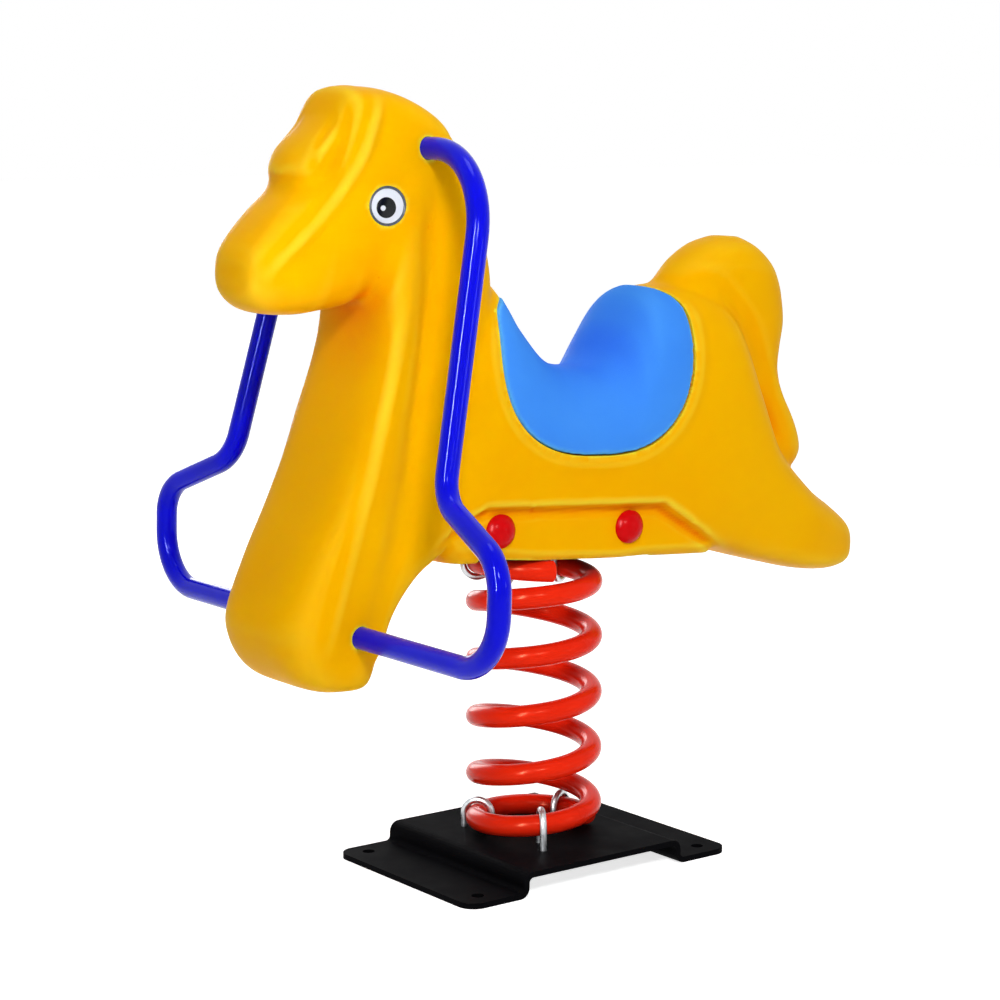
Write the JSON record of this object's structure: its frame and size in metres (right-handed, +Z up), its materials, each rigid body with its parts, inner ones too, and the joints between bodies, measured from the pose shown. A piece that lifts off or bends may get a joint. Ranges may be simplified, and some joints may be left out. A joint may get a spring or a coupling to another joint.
{
  "type": "spring rider",
  "caption": "Playground spring rider: a moulded horse with a saddle skin, bent handles with foot loops and a steel bracket, rocking on a coil spring clamped to a pressed base plate.",
  "frame": {"origin": "on the ground, at the middle of the base plate's anchor holes, under the spring's axis", "axes": "+X towards the head, +Y to the rider's left, +Z up along the spring's axis"},
  "size_m": [0.786, 0.608, 0.7981],
  "materials": {
    "base_steel": "black powder coat, slightly textured",
    "spring_steel": "red gloss powder coat",
    "zinc": "bright zinc plating",
    "bracket_steel": "black paint",
    "shell_plastic": "satin moulded polyethylene, yellow",
    "saddle_plastic": "satin moulded polyethylene, light blue",
    "handle_paint": "deep blue gloss powder coat",
    "sleeve_steel": "plain steel",
    "eye_rim": "dark gloss",
    "eye_white": "white gloss",
    "eye_pupil": "black gloss",
    "cap_plastic": "red gloss"
  },
  "bodies": {
    "base": {"base_plate": "base_steel", "lower_clamps": "zinc", "lower_clamp_washers": "zinc", "lower_clamp_nuts": "zinc"},
    "spring": {"coil_spring": "spring_steel"},
    "rider": {"rider_bracket": "bracket_steel", "upper_clamps": "zinc", "upper_clamp_washers": "zinc", "upper_clamp_nuts": "zinc", "horse_shell": "shell_plastic", "saddle_seat": "saddle_plastic", "seat_bolts": "zinc", "left_handle": "handle_paint", "right_handle": "handle_paint", "upper_handle_sleeve": "sleeve_steel", "lower_handle_sleeve": "sleeve_steel", "eye_rims": "eye_rim", "eye_whites": "eye_white", "eye_pupils": "eye_pupil", "belly_bolts": "zinc", "belly_spacers": "sleeve_steel", "belly_washers": "zinc", "belly_nuts": "zinc", "cap_bases": "cap_plastic", "cap_domes": "cap_plastic"}
  },
  "joints": [
    {"name": "rock", "type": "hinge", "parent": "base", "child": "spring", "pos_m": [0, 0, 0.1743], "axis": [0, 1, 0], "range_deg": [-16, 16], "stiffness_Nm_per_rad": 1200, "deforming": ["coil_spring"]},
    {"name": "sway", "type": "hinge", "parent": "spring", "child": "rider", "pos_m": [0, 0, 0.1743], "axis": [1, 0, 0], "range_deg": [-12, 12], "stiffness_Nm_per_rad": 1200, "deforming": ["coil_spring"]}
  ]
}
